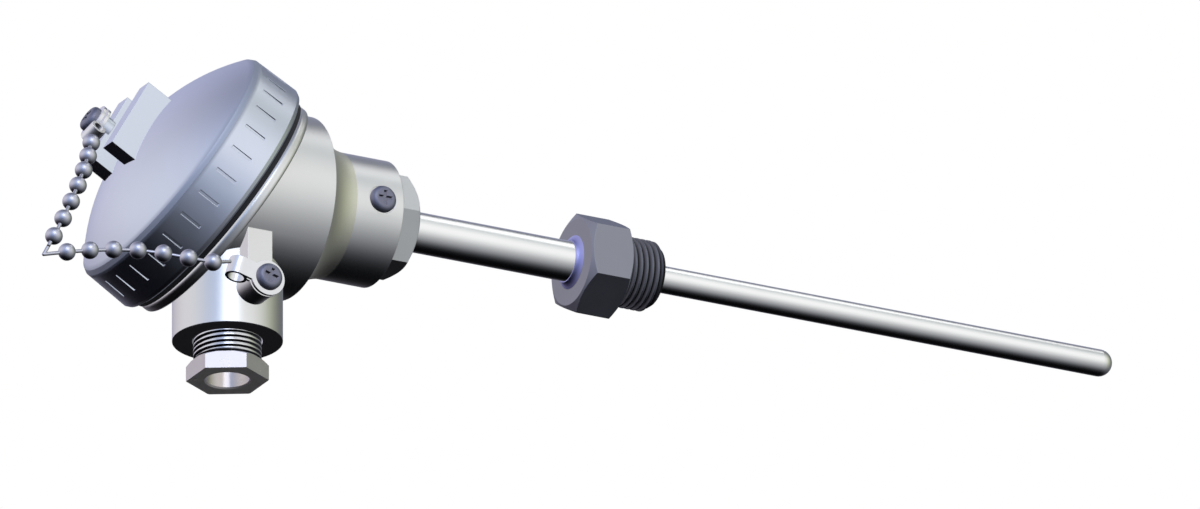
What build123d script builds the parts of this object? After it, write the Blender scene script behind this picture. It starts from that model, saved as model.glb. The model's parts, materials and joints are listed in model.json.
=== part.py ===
from build123d import *
from math import cos, hypot, radians, sin, sqrt, tan
import os

# Thermocouple probe with a screw-cap connection head. Millimetres.
# +X runs along the probe to its tip, the cable entry points down -Z.
# The origin is on the probe axis, where the process hexagon meets its thread.

# Clearances
thread_gap = 0.3
running_gap = 0.05
overlap = 1.0
slip_gap = 0.1
face_gap = 0.1
seat_gap = 0.3

# Process fitting, extension tube and sheath
fitting_flats = 27.0
fitting_length = 13.8
thread_diameter = 20.955
thread_length = 12.5
thread_chamfer = 1.0
weld_height = 2.0
weld_length = 1.8
weld_lip = 0.3
sheath_diameter = 8.0
sheath_wall = 1.0
sheath_reach = 163.1
sheath_socket = 5.0
extension_diameter = 12.0
extension_wall = 1.5
extension_visible = 56.3
extension_socket = 8.0

# Neck nut and its spigot in the head
nut_flats = 27.0
nut_length = 8.5
spigot_diameter = 24.0
spigot_length = 13.0
lock_groove_depth = 1.4
lock_groove_width = 5.0
lock_behind_face = 6.84
seal_thickness = 1.2
seal_clearance = 0.4
hexagon_face_share = 0.95
hexagon_chamfer = 30.0
hexagon_turn = 30.0

# Head housing about the probe axis
collar_diameter = 37.6
collar_length = 15.2
cove_length = 11.3
cove_sag = 2.0
bowl_diameter = 54.6
bowl_wall = 4.1
passage_diameter = 16.0
passage_past_cove = 3.0
floor_behind_cove = 1.9
cone_base_diameter = 40.0
spot_face_depth = 0.6

# Lid axis: it rises over -X and crosses the probe axis behind the cove
lid_tilt = 30.0
crossing_behind_cove = 30.1
rim_above_crossing = 12.0

# Lid, in heights along its own axis from the rim
lid_diameter = 79.4
lid_draft = 0.4
lid_height = 16.7
lid_rim_round = 0.8
lid_rear_round = 1.7
dome_height = 14.0
lid_shell = 3.5
grip_count = 30
grip_width = 0.9
grip_depth = 0.6
grip_length = 7.0
grip_drop = 3.9
grip_phase = 3.3

# Lid lugs and the chain post on the far one
lug_length = 24.0
lug_thickness = 5.8
lug_slot = 7.6
lug_top = 20.8
lug_root_depth = 1.0
post_diameter = 7.6
post_height = 2.0

# Flange and threaded neck under the lid
gasket_thickness = 1.6
gasket_width = 2.2
flange_diameter = 74.4
flange_thickness = 3.5
flange_round = 1.2
neck_diameter = 70.0
neck_wall = 3.8
neck_length = 14.5
ledge_thickness = 3.0

# Cable entry
gland_behind_cove = 21.7
boss_diameter = 32.4
boss_drop = 45.6
gland_thread_diameter = 20.0
gland_thread_shown = 7.0
gland_thread_inside = 7.6
gland_hex_flats = 21.0
gland_hex_length = 5.3
gland_bore_diameter = 12.7
gland_washer_thickness = 1.0
grommet_length = 7.7
grommet_diameter = 18.4
wire_hole_overlap = 4.0

# Chain lug on the housing
rib_width = 8.0
rib_front = 20.8
rib_top_drop = 17.7
peg_diameter = 10.0
peg_drop = 34.6
peg_front = 23.4
peg_root = 8.1

# Folded chain tags
tag_plate = 1.0
tag_fold_gap = 0.5
tag_diameter = 10.8
tag_width = 5.5
tag_wall = 0.9
body_eye_radius = 3.3
body_eye_arm = 8.5
body_tag_tilt = 16.0
lid_eye_radius = 2.4
lid_eye_arm = 6.4
lid_tag_turn = 31.8

# Bead chain. Its route is given beyond the lid's side, round the lid's axis and along it
bead_diameter = 5.2
link_diameter = 1.1
link_grip = 0.6
beads_each_run = 7
first_bead_lead = 2.9
corner_stub = 3.0
corner_gap = 0.5
corner_out = 23.0
corner_turn = 14.1
corner_height = 21.8
upper_out = -7.7
upper_turn = 17.0
upper_height = 22.6
lower_first_out = 12.9
lower_first_turn = 18.4
lower_first_height = 10.2
lower_second_out = 5.5
lower_second_turn = 25.0
lower_second_height = -2.0
lower_third_out = 4.6
lower_third_turn = 34.6
lower_third_height = -14.4
lower_fourth_out = 1.6
lower_fourth_turn = 39.0
lower_fourth_height = -22.0

# Screws
screw_diameter = 4.0
screw_head_diameter = 8.0
screw_head_height = 2.4
screw_crown_share = 0.35
screw_tip_share = 0.15
recess_width = 1.1
recess_length = 4.4
recess_depth = 1.3
lock_screw_length = 6.5
tag_screw_length = 10.5
block_screw_length = 16.0
ground_screw_length = 4.5
ground_head_diameter = 7.0
ground_drop = 26.9
terminal_screw_diameter = 3.0
terminal_head_diameter = 5.2
terminal_head_height = 1.8
terminal_screw_length = 4.5

# Terminal block and the measuring insert
block_diameter = 39.0
block_thickness = 7.0
block_seat_behind_cove = 3.9
block_hole = 5.4
block_screw_inset = 3.0
block_boss_diameter = 7.6
barrier_width = 2.4
barrier_gap = 0.8
barrier_length = 8.0
barrier_height = 5.0
terminal_spacing = 18.0
terminal_width = 7.0
terminal_length = 14.0
terminal_height = 6.0
terminal_screw_spacing = 8.0
terminal_hole_past = 0.3
insulator_diameter = 4.8
insulator_bore = 1.2
insulator_in_block = 1.0
wire_diameter = 1.0
wire_spacing = 2.2
wire_bend = 1.5
insulator_before_tip = 12.0
junction_diameter = 3.4
junction_before_tip = 8.5

# Stations along the probe axis
fitting_back = -fitting_length
nut_front = fitting_back - extension_visible
nut_back = nut_front - nut_length
collar_back = nut_back - collar_length
cove_back = collar_back - cove_length
crossing_x = cove_back - crossing_behind_cove
gland_x = cove_back - gland_behind_cove
floor_x = cove_back - floor_behind_cove
block_seat_x = cove_back - block_seat_behind_cove
block_back_x = block_seat_x - block_thickness
spigot_back = nut_back - spigot_length
shoulder_x = spigot_back - seal_thickness - 2 * face_gap
lock_x = nut_back - lock_behind_face
insulator_front = sheath_reach - insulator_before_tip
insulator_back = block_back_x + insulator_in_block
junction_x = sheath_reach - junction_before_tip
terminal_back_x = block_back_x - terminal_height
block_screw_radius = block_diameter / 2 - block_screw_inset

# Radii
collar_radius = collar_diameter / 2
bowl_radius = bowl_diameter / 2
lid_radius = lid_diameter / 2
lid_rear_radius = lid_radius + lid_draft
neck_radius = neck_diameter / 2
chamber_radius = neck_radius - neck_wall
bore_radius = neck_radius + thread_gap
spigot_radius = spigot_diameter / 2
sheath_radius = sheath_diameter / 2
extension_radius = extension_diameter / 2

# Frames: turned pieces are drawn about their own +Z
lid_sine = sin(radians(lid_tilt))
lid_cosine = cos(radians(lid_tilt))
rim_centre = (crossing_x - rim_above_crossing * lid_cosine, 0, rim_above_crossing * lid_sine)
STEM = Plane(origin=(0, 0, 0), x_dir=(0, 0, 1), z_dir=(1, 0, 0))
LID = Plane(origin=rim_centre, x_dir=(lid_sine, 0, lid_cosine), z_dir=(-lid_cosine, 0, lid_sine))
GLAND = Plane(origin=(gland_x, 0, 0), x_dir=(1, 0, 0), z_dir=(0, 0, 1))
PEG = Plane(origin=(gland_x, -peg_front, -peg_drop), x_dir=(-1, 0, 0), z_dir=(0, -1, 0))

# Heights along the lid axis
flange_top = -lid_height - gasket_thickness - 2 * face_gap
flange_back = flange_top - flange_thickness
neck_top = flange_top + neck_length
ledge_height = flange_back + ledge_thickness
far_away = 120.0

# Heights in the cable entry, from the probe axis
thread_inner_end = gland_thread_inside - boss_drop
washer_bottom = thread_inner_end + face_gap
grommet_bottom = washer_bottom + gland_washer_thickness + face_gap
grommet_seat = grommet_bottom + grommet_length + face_gap

# How a block stands to its place
STANDING = (Align.CENTER, Align.CENTER, Align.MIN)
HANGING = (Align.CENTER, Align.CENTER, Align.MAX)
HANGING_FRONT = (Align.CENTER, Align.MAX, Align.MAX)

# Places of the two chain tags and the ends of the chain
tag_stack = 2 * tag_plate + tag_fold_gap
lug_centre_y = (lug_slot + lug_thickness) / 2
lid_eye_height = tag_stack / 2
body_eye_height = tag_stack - body_eye_radius
LID_TAG = LID * Pos(0, lug_centre_y, lug_top + post_height) * Rot(0, 0, 180 + lid_tag_turn)
BODY_TAG = PEG * Rot(0, 0, -body_tag_tilt)
LID_EYE = LID_TAG * Pos(lid_eye_arm, 0, lid_eye_height) * Rot(90, 0, 0)
BODY_EYE = BODY_TAG * Pos(body_eye_arm, 0, body_eye_height) * Rot(90, 0, 0)


def turned(*outline):
    """Solid of revolution about +Z from an outline of (radius, height) points."""
    face = Plane.XZ * make_face(Polyline(*outline, close=True))
    return revolve(face, Axis.Z)


def rod(radius, bottom, top):
    """Plain cylinder on +Z between two heights."""
    return Pos(0, 0, bottom) * Cylinder(radius, top - bottom, align=STANDING)


def tube(outer_radius, inner_radius, bottom, top):
    """Plain ring or tube on +Z between two heights."""
    return rod(outer_radius, bottom, top) - rod(inner_radius, bottom - overlap, top + overlap)


def hexagon(flats, bottom, top, turn=0.0):
    """Hexagon along +Z with the corners of both faces turned off, as on a nut."""
    corner_radius = flats / sqrt(3) + running_gap
    face_radius = flats / 2 * hexagon_face_share
    drop = (corner_radius - face_radius) * tan(radians(hexagon_chamfer))
    prism = extrude(RegularPolygon(flats / 2, 6, major_radius=False, rotation=turn), top - bottom)
    limit = turned(
        (0, bottom),
        (face_radius, bottom),
        (corner_radius, bottom + drop),
        (corner_radius, top - drop),
        (face_radius, top),
        (0, top),
    )
    return (Pos(0, 0, bottom) * prism) & limit


def pan_screw(diameter, head_diameter, head_height, length, recess=True):
    """Pan-head screw whose head stands on height 0 and whose shank runs down -Z."""
    crown = screw_crown_share * head_height
    head = rod(head_diameter / 2, 0, head_height)
    top_edge = head.edges().group_by(Axis.Z)[-1]
    head = fillet(top_edge, head_height - crown)
    shank = rod(diameter / 2, -length, 0)
    tip_edge = shank.edges().group_by(Axis.Z)[0]
    shank = chamfer(tip_edge, screw_tip_share * diameter)
    screw = head + shank
    if recess:
        for turn in (0, 90):
            slot = Box(recess_length, recess_width, recess_depth, align=HANGING)
            screw -= Pos(0, 0, head_height) * Rot(0, 0, turn) * slot
    return screw


def lid_point(beyond_side, turn, height):
    """Point outside the lid's side: its angle is from the low side round to -Y."""
    reach = lid_rear_radius + beyond_side
    angle = radians(turn)
    return LID.from_local_coords(Vector(-reach * cos(angle), -reach * sin(angle), height))


def process_fitting():
    """Hexagon with its parallel process thread and the weld collar of the tube."""
    tube_radius = extension_radius + running_gap
    weld_back = fitting_back - weld_length
    thread_radius = thread_diameter / 2
    body = hexagon(fitting_flats, fitting_back, 0)
    body += turned(
        (0, -overlap),
        (thread_radius, -overlap),
        (thread_radius, thread_length - thread_chamfer),
        (thread_radius - thread_chamfer, thread_length),
        (0, thread_length),
    )
    body += turned(
        (0, weld_back),
        (tube_radius + weld_lip, weld_back),
        (tube_radius + weld_height, fitting_back + face_gap),
        (0, fitting_back + face_gap),
    )
    body -= rod(tube_radius, weld_back - overlap, fitting_back + extension_socket)
    body -= rod(sheath_radius + running_gap, -fitting_length, thread_length + overlap)
    return STEM * body


def extension_tube():
    """Tube between the neck nut's spigot and the process hexagon."""
    inner_radius = extension_radius - extension_wall
    return STEM * tube(extension_radius, inner_radius, spigot_back, fitting_back + extension_socket)


def sheath_tube():
    """Closed sheath with a round tip."""
    inner_radius = sheath_radius - sheath_wall
    centre_x = sheath_reach - sheath_radius
    outer = rod(sheath_radius, -sheath_socket, centre_x) + Pos(0, 0, centre_x) * Sphere(sheath_radius)
    inner = rod(inner_radius, -sheath_socket - overlap, centre_x) + Pos(0, 0, centre_x) * Sphere(inner_radius)
    return STEM * (outer - inner)


def neck_nut():
    """Hexagon of the neck with the spigot that the head turns and locks on."""
    body = hexagon(nut_flats, nut_back, nut_front, turn=hexagon_turn)
    body += rod(spigot_radius, spigot_back, nut_back + overlap)
    groove_radius = spigot_radius - lock_groove_depth
    body -= tube(
        spigot_radius + overlap,
        groove_radius,
        lock_x - lock_groove_width / 2,
        lock_x + lock_groove_width / 2,
    )
    body -= rod(extension_radius + running_gap, spigot_back - overlap, nut_front + overlap)
    return STEM * body


def neck_seal():
    """Flat ring between the spigot and the shoulder in the collar."""
    inner_radius = passage_diameter / 2 + seal_clearance
    seal = tube(spigot_radius - seal_clearance, inner_radius, shoulder_x + face_gap, spigot_back - face_gap)
    return STEM * seal


def housing_bowl():
    """Outside of the collar, cove and bowl, cut off square to the lid axis."""
    chord = hypot(cove_length, bowl_radius - collar_radius)
    middle_radius = (bowl_radius + collar_radius) / 2 - cove_sag * cove_length / chord
    middle_x = (cove_back + collar_back) / 2 - cove_sag * (bowl_radius - collar_radius) / chord
    outline = Polyline(
        (collar_radius, collar_back),
        (collar_radius, nut_back),
        (0, nut_back),
        (0, cove_back - far_away),
        (bowl_radius, cove_back - far_away),
        (bowl_radius, cove_back),
    )
    cove = ThreePointArc((bowl_radius, cove_back), (middle_radius, middle_x), (collar_radius, collar_back))
    return STEM * revolve(Plane.XZ * make_face(outline + cove), Axis.Z)


def housing_lug():
    """Rib and peg that carry the chain tag on the cable entry."""
    rib_height = peg_drop - rib_top_drop
    rib = Box(rib_width, rib_front, rib_height, align=HANGING_FRONT)
    peg = rod(peg_diameter / 2, peg_root - peg_front, 0)
    return Pos(gland_x, 0, -rib_top_drop) * rib + PEG * peg


def housing_cavities():
    """Chamber, collar bore, cable entry and the tapped holes."""
    bowl_inner = bowl_radius - bowl_wall
    passage_radius = passage_diameter / 2
    chamber = STEM * turned(
        (0, shoulder_x + overlap),
        (passage_radius, shoulder_x + overlap),
        (passage_radius, collar_back - passage_past_cove),
        (cone_base_diameter / 2, cove_back),
        (bowl_inner, floor_x),
        (bowl_inner, cove_back - far_away),
        (0, cove_back - far_away),
    )
    bosses = [
        STEM * Pos(side * block_screw_radius, 0, 0) * rod(block_boss_diameter / 2, block_seat_x, collar_back)
        for side in (-1, 1)
    ]
    chamber -= bosses
    chamber &= LID * rod(far_away, -far_away, ledge_height + face_gap)
    mouth = LID * rod(chamber_radius, ledge_height, neck_top + overlap)
    collar_bore = STEM * rod(spigot_radius + running_gap, shoulder_x, nut_back + overlap)
    entry_radius = gland_thread_diameter / 2 + thread_gap
    entry = GLAND * rod(entry_radius, -boss_drop - overlap, thread_inner_end + seat_gap)
    entry += GLAND * rod(grommet_diameter / 2 + seat_gap, thread_inner_end, grommet_seat)
    entry += GLAND * rod(gland_bore_diameter / 2, grommet_seat - overlap, wire_hole_overlap - bowl_inner)
    screw_radius = screw_diameter / 2 + running_gap
    lock_axis = Plane(origin=(lock_x, 0, 0), z_dir=(0, -1, 0))
    lock_hole = lock_axis * rod(screw_radius, 0, collar_radius + overlap)
    lock_face = lock_axis * rod(
        screw_head_diameter / 2 + seat_gap, collar_radius - spot_face_depth, collar_radius + overlap
    )
    peg_hole = PEG * rod(screw_radius, -tag_screw_length, overlap)
    ground_hole = LID * Pos(-ground_drop, 0, 0) * rod(
        screw_radius, ledge_height - ground_screw_length - seat_gap, ledge_height + overlap
    )
    cuts = [mouth, collar_bore, entry, lock_hole, lock_face, peg_hole, ground_hole]
    for side in (-1, 1):
        hole = rod(screw_radius, block_seat_x - overlap, block_back_x + block_screw_length + seat_gap)
        cuts.append(STEM * Pos(side * block_screw_radius, 0, 0) * hole)
    return [chamber] + cuts


def head_housing():
    """Cast head: collar, bowl, flange, threaded neck, cable entry and chain lug."""
    body = housing_bowl()
    body += GLAND * rod(boss_diameter / 2, -boss_drop, 0)
    body += housing_lug()
    body &= LID * rod(far_away, -far_away, flange_back + overlap)
    flange = rod(flange_diameter / 2, flange_back, flange_top)
    flange = fillet(flange.edges().filter_by(GeomType.CIRCLE), flange_round)
    body += LID * flange
    body += LID * rod(neck_radius, flange_top - overlap, neck_top)
    for cavity in housing_cavities():
        body -= cavity
    return body


def dome_height_at(radius, inset=0.0):
    """Height of the lid's spherical crown over a radius, or of its inside."""
    sphere = (lid_radius**2 + dome_height**2) / (2 * dome_height)
    return dome_height - sphere + sqrt((sphere - inset) ** 2 - radius**2)


def crown_arc(start, end, inset):
    """Arc of the crown between two radii, as (radius, height) points."""
    middle = (start + end) / 2
    ends = [(reach, dome_height_at(reach, inset)) for reach in (start, middle, end)]
    return ThreePointArc(*ends)


def screw_lid():
    """Domed cap with grip grooves, two lugs and the post of the chain."""
    rim_reach = lid_radius - lid_rim_round
    outside = crown_arc(0, rim_reach, 0)
    inside = crown_arc(bore_radius, 0, lid_shell)
    bevel = lid_rear_round / 3
    side = Polyline(
        (rim_reach, dome_height_at(rim_reach)),
        (lid_radius, -lid_rim_round),
        (lid_rear_radius, lid_rear_round - lid_height),
        (lid_rear_radius - bevel, bevel - lid_height),
        (lid_rear_radius - lid_rear_round, -lid_height),
        (bore_radius, -lid_height),
        (bore_radius, dome_height_at(bore_radius, lid_shell)),
    )
    middle = Line((0, dome_height_at(0, lid_shell)), (0, dome_height))
    body = revolve(Plane.XZ * make_face(outside + side + inside + middle), Axis.Z)
    groove = Box(2 * grip_depth, grip_width, grip_length, align=HANGING)
    grooves = [
        Rot(0, 0, -grip_phase - index * 360 / grip_count) * Pos(lid_rear_radius, 0, -grip_drop) * groove
        for index in range(grip_count)
    ]
    body -= grooves
    lug_root = dome_height_at(hypot(lug_length, lug_slot + 2 * lug_thickness) / 2) - lug_root_depth
    lug = Box(lug_length, lug_thickness, lug_top - lug_root, align=STANDING)
    for side in (-1, 1):
        body += Pos(0, side * lug_centre_y, lug_root) * lug
    body += Pos(0, lug_centre_y, 0) * rod(post_diameter / 2, lug_top - overlap, lug_top + post_height)
    hole_bottom = lug_top + post_height + tag_stack - tag_screw_length - seat_gap
    body -= Pos(0, lug_centre_y, 0) * rod(screw_diameter / 2 + running_gap, hole_bottom, far_away)
    return LID * body


def lid_gasket():
    """Flat ring between the lid's rear edge and the flange."""
    inner_radius = neck_radius + seat_gap
    outer_radius = inner_radius + gasket_width
    return LID * tube(outer_radius, inner_radius, flange_top + face_gap, -lid_height - face_gap)


def folded_tag(eye_radius, arm, eye_height):
    """Strip folded round a chain eye: two plates on height 0, the eye out along +X."""
    strip = Pos(arm / 2, 0, 0) * Box(arm, tag_width, tag_plate, align=STANDING)
    plate = rod(tag_diameter / 2, 0, tag_plate) + strip
    eye_place = Pos(arm, tag_width / 2, eye_height) * Rot(90, 0, 0)
    body = plate + Pos(0, 0, tag_plate + tag_fold_gap) * plate
    body += eye_place * rod(eye_radius, 0, tag_width)
    body -= eye_place * rod(eye_radius - tag_wall, -overlap, tag_width + overlap)
    body -= rod(screw_diameter / 2 + running_gap, -overlap, far_away)
    return body


def toward(start, end, distance):
    """Point at a distance from the start on the way to the end."""
    return start + (end - start).normalized() * distance


def wire(start, end):
    """Straight piece of the chain's wire."""
    span = end - start
    return Plane(origin=start, z_dir=span) * rod(link_diameter / 2, 0, span.length)


def bead_string(route, bead_places, start, end):
    """Beads on a wire that follows the route; each link reaches a little way into its beads."""
    stops = [start] + bead_places + [end]
    points = [route.position_at(stop, position_mode=PositionMode.LENGTH) for stop in stops]
    grip = bead_diameter / 2 - link_grip
    last = len(points) - 1
    body = None
    for index, (here, there) in enumerate(zip(points, points[1:])):
        link_start = here if index == 0 else toward(here, there, grip)
        link_end = there if index + 1 == last else toward(there, here, grip)
        link = wire(link_start, link_end)
        body = link if body is None else body + link
        if index + 1 < last:
            body += Plane(origin=there, z_dir=there - here) * Rot(90, 0, 0) * Sphere(bead_diameter / 2)
    return body


def chain_corner():
    """Point where the chain hangs lowest and turns back to the housing."""
    return lid_point(corner_out, corner_turn, corner_height)


def eye_end(eye, eye_radius, neighbour):
    """Point just outside a rolled eye, on the side that faces the next point of the chain."""
    away = neighbour - eye.position
    axis = eye.z_axis.direction
    across = away - axis * away.dot(axis)
    reach = eye_radius + link_diameter / 2 + seat_gap
    return eye.position + across.normalized() * reach


def upper_route():
    """Curve from the eye on the lid to the hanging corner of the chain."""
    middle = lid_point(upper_out, upper_turn, upper_height)
    return ThreePointArc(eye_end(LID_EYE, lid_eye_radius, middle), middle, chain_corner())


def lower_route():
    """Curve from the hanging corner round the lid to the eye on the housing."""
    points = [
        chain_corner(),
        lid_point(lower_first_out, lower_first_turn, lower_first_height),
        lid_point(lower_second_out, lower_second_turn, lower_second_height),
        lid_point(lower_third_out, lower_third_turn, lower_third_height),
        lid_point(lower_fourth_out, lower_fourth_turn, lower_fourth_height),
    ]
    return Spline(*points, eye_end(BODY_EYE, body_eye_radius, points[-1]))


def chain_upper_run():
    """Run of beads that hangs from the lid and ends just short of the corner."""
    route = upper_route()
    pitch = (route.length - first_bead_lead) / beads_each_run
    places = [first_bead_lead + index * pitch for index in range(beads_each_run)]
    return bead_string(route, places, 0, route.length - corner_stub - corner_gap)


def chain_lower_run():
    """Run of beads that comes round to the housing, with the bent wire of the corner."""
    route = lower_route()
    pitch = route.length / (beads_each_run + 1)
    places = [(index + 1) * pitch for index in range(beads_each_run)]
    upper = upper_route()
    stub_end = upper.position_at(upper.length - corner_stub, position_mode=PositionMode.LENGTH)
    corner = chain_corner()
    elbow = Pos(*corner) * Sphere(link_diameter / 2)
    return bead_string(route, places, 0, route.length) + elbow + wire(corner, stub_end)


def chain_screw():
    """Screw that holds a folded tag."""
    return pan_screw(screw_diameter, screw_head_diameter, screw_head_height, tag_screw_length)


def neck_lock_screw():
    """Screw in the collar whose tip stands in the spigot's groove."""
    place = Plane(origin=(lock_x, spot_face_depth - collar_radius, 0), z_dir=(0, -1, 0))
    return place * pan_screw(screw_diameter, screw_head_diameter, screw_head_height, lock_screw_length)


def gland_pressure_screw():
    """Hollow screw of the cable entry, with its hexagon at the outer end."""
    hexagon_top = -boss_drop - gland_thread_shown
    body = rod(gland_thread_diameter / 2, hexagon_top - overlap, thread_inner_end)
    body += hexagon(gland_hex_flats, hexagon_top - gland_hex_length, hexagon_top, turn=hexagon_turn)
    body -= rod(gland_bore_diameter / 2, -far_away, 0)
    return GLAND * body


def gland_washer():
    """Brass ring between the pressure screw and the grommet."""
    top = washer_bottom + gland_washer_thickness
    return GLAND * tube(grommet_diameter / 2, gland_bore_diameter / 2, washer_bottom, top)


def gland_grommet():
    """Rubber sleeve that closes on the cable."""
    top = grommet_bottom + grommet_length
    return GLAND * tube(grommet_diameter / 2, gland_bore_diameter / 2, grommet_bottom, top)


def terminal_block():
    """Round ceramic base with a barrier between the two terminals."""
    body = rod(block_diameter / 2, block_back_x, block_seat_x)
    barrier = Box(barrier_length, barrier_width, barrier_height, align=HANGING)
    barrier_offset = block_hole / 2 + barrier_length / 2 + barrier_gap
    for side in (-1, 1):
        body += Pos(side * barrier_offset, 0, block_back_x) * barrier
        body -= Pos(side * block_screw_radius, 0, 0) * rod(
            screw_diameter / 2 + slip_gap, block_back_x - overlap, block_seat_x + overlap
        )
    body -= rod(block_hole / 2, block_back_x - barrier_height - overlap, block_seat_x + overlap)
    return STEM * body


def brass_terminals():
    """Two brass bars on the block."""
    bar = Box(terminal_length, terminal_width, terminal_height, align=HANGING)
    hole = rod(
        terminal_screw_diameter / 2 + running_gap, -terminal_screw_length - terminal_hole_past, overlap
    )
    pieces = []
    for side in (-1, 1):
        piece = Pos(0, side * terminal_spacing / 2, block_back_x) * bar
        for end in (-1, 1):
            place = Pos(end * terminal_screw_spacing / 2, side * terminal_spacing / 2, terminal_back_x)
            piece -= place * Rot(180, 0, 0) * hole
        pieces.append(STEM * piece)
    return Compound(children=pieces)


def terminal_screws():
    """Four clamp screws of the terminals."""
    screw = pan_screw(
        terminal_screw_diameter, terminal_head_diameter, terminal_head_height, terminal_screw_length, False
    )
    pieces = [
        STEM * Pos(end * terminal_screw_spacing / 2, side * terminal_spacing / 2, terminal_back_x)
        * Rot(180, 0, 0) * screw
        for side in (-1, 1)
        for end in (-1, 1)
    ]
    return Compound(children=pieces)


def block_screws():
    """Two screws that hold the block on the bosses."""
    screw = pan_screw(screw_diameter, ground_head_diameter, screw_head_height, block_screw_length)
    pieces = [
        STEM * Pos(side * block_screw_radius, 0, block_back_x) * Rot(180, 0, 0) * screw for side in (-1, 1)
    ]
    return Compound(children=pieces)


def ground_screw():
    """Earth screw on the ledge beside the cable entry."""
    screw = pan_screw(screw_diameter, ground_head_diameter, screw_head_height, ground_screw_length)
    return LID * Pos(-ground_drop, 0, ledge_height) * screw


def ceramic_insulator():
    """Two-bore rod that keeps the wires apart."""
    body = rod(insulator_diameter / 2, insulator_back, insulator_front)
    for side in (-1, 1):
        bore = rod(insulator_bore / 2, insulator_back - overlap, insulator_front + overlap)
        body -= Pos(0, side * wire_spacing / 2, 0) * bore
    return STEM * body


def thermo_wire(side):
    """Wire from the hot junction to the inner face of its terminal."""
    offset = side * wire_spacing / 2
    terminal_face = side * (terminal_spacing / 2 - terminal_width / 2 - running_gap)
    turn_x = block_back_x - terminal_height / 2
    ball = junction_diameter / 2
    nearest = wire_spacing / 2 - wire_diameter / 2
    front = junction_x - sqrt(ball**2 - nearest**2) - running_gap
    points = [(front, offset, 0), (turn_x, offset, 0), (turn_x, terminal_face, 0)]
    path = FilletPolyline(*points, radius=wire_bend)
    section = Plane(origin=(front, offset, 0), z_dir=(-1, 0, 0)) * Circle(wire_diameter / 2)
    return sweep(section, path=path)


def hot_junction():
    """Welded bead that joins the two wires."""
    return Pos(junction_x, 0, 0) * Sphere(junction_diameter / 2)


nodes = {
    "head_housing": head_housing(),
    "screw_lid": screw_lid(),
    "lid_gasket": lid_gasket(),
    "lid_chain_tag": LID_TAG * folded_tag(lid_eye_radius, lid_eye_arm, lid_eye_height),
    "lid_chain_screw": LID_TAG * Pos(0, 0, tag_stack) * chain_screw(),
    "chain_upper_run": chain_upper_run(),
    "chain_lower_run": chain_lower_run(),
    "body_chain_tag": BODY_TAG * folded_tag(body_eye_radius, body_eye_arm, body_eye_height),
    "body_chain_screw": BODY_TAG * Pos(0, 0, tag_stack) * chain_screw(),
    "neck_lock_screw": neck_lock_screw(),
    "neck_nut": neck_nut(),
    "neck_seal": neck_seal(),
    "extension_tube": extension_tube(),
    "process_fitting": process_fitting(),
    "sheath_tube": sheath_tube(),
    "ceramic_insulator": ceramic_insulator(),
    "wire_positive": thermo_wire(1),
    "wire_negative": thermo_wire(-1),
    "hot_junction": hot_junction(),
    "terminal_block": terminal_block(),
    "brass_terminals": brass_terminals(),
    "terminal_screws": terminal_screws(),
    "block_screws": block_screws(),
    "ground_screw": ground_screw(),
    "gland_pressure_screw": gland_pressure_screw(),
    "gland_washer": gland_washer(),
    "gland_grommet": gland_grommet(),
}

os.makedirs("parts", exist_ok=True)
for name, shape in nodes.items():
    export_step(shape, f"parts/{name}.step")
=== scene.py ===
"""Thermocouple probe with a screw-cap connection head: finishes, threads, light and camera.

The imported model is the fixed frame. Its pieces keep their places and sizes; those that need a true
thread or smooth faces are replaced by surfaces that are worked out here from the same measures.
"""

import json
from math import cos, pi, radians, sin, tan
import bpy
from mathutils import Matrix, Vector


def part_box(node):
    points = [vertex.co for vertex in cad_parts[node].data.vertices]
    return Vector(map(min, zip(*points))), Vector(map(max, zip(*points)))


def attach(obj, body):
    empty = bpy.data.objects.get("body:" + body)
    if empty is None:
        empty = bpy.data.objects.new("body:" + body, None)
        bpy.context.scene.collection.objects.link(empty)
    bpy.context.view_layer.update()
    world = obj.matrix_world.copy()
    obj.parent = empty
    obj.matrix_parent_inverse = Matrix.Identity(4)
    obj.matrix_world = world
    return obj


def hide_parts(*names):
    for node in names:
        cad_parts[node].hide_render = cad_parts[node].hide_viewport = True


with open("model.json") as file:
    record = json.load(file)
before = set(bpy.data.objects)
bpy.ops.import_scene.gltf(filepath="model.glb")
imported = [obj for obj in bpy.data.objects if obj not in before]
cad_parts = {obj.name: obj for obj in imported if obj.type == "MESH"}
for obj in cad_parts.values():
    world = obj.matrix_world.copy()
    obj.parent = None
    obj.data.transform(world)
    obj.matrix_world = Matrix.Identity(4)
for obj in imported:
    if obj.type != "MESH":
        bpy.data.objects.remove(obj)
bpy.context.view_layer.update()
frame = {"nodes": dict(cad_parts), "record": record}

from types import SimpleNamespace

import bpy
import numpy as np
from bpy.props import FloatProperty, FloatVectorProperty, PointerProperty
from bpy.types import Operator, Panel, PropertyGroup
from mathutils import Matrix, Vector

bl_info = {
    "name": "Thermocouple Probe",
    "version": (1, 0, 0),
    "blender": (4, 5, 0),
    "location": "View3D > Sidebar > Probe",
    "description": "Dresses a thermocouple probe with its finishes, threads and studio",
    "category": "Object",
}

MM = 0.001
POINTS_ROUND = 180
CREASE_DEGREES = 24.0
FIT_GAP = 0.05
EDGE_MARGIN = 0.05
MOUNTS = {mount["name"]: mount for mount in frame["record"]["mounts"]}
JOINTS = {joint["name"]: joint for joint in frame["record"]["behaviour"]["joints"]}
SLOTS = {entry["node"]: entry["material_slot"] for entry in frame["record"]["subparts"]}
LID_AXIS = Vector(JOINTS["lid_turn"]["axis"])
LID_CENTRE = Vector(JOINTS["lid_turn"]["pos_m"])
LID_SIDE = Vector((0.0, 1.0, 0.0)).cross(LID_AXIS)
BODY_OF = {
    node: body
    for body, nodes in frame["record"]["behaviour"]["bodies"].items()
    for node in nodes
}


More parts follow.
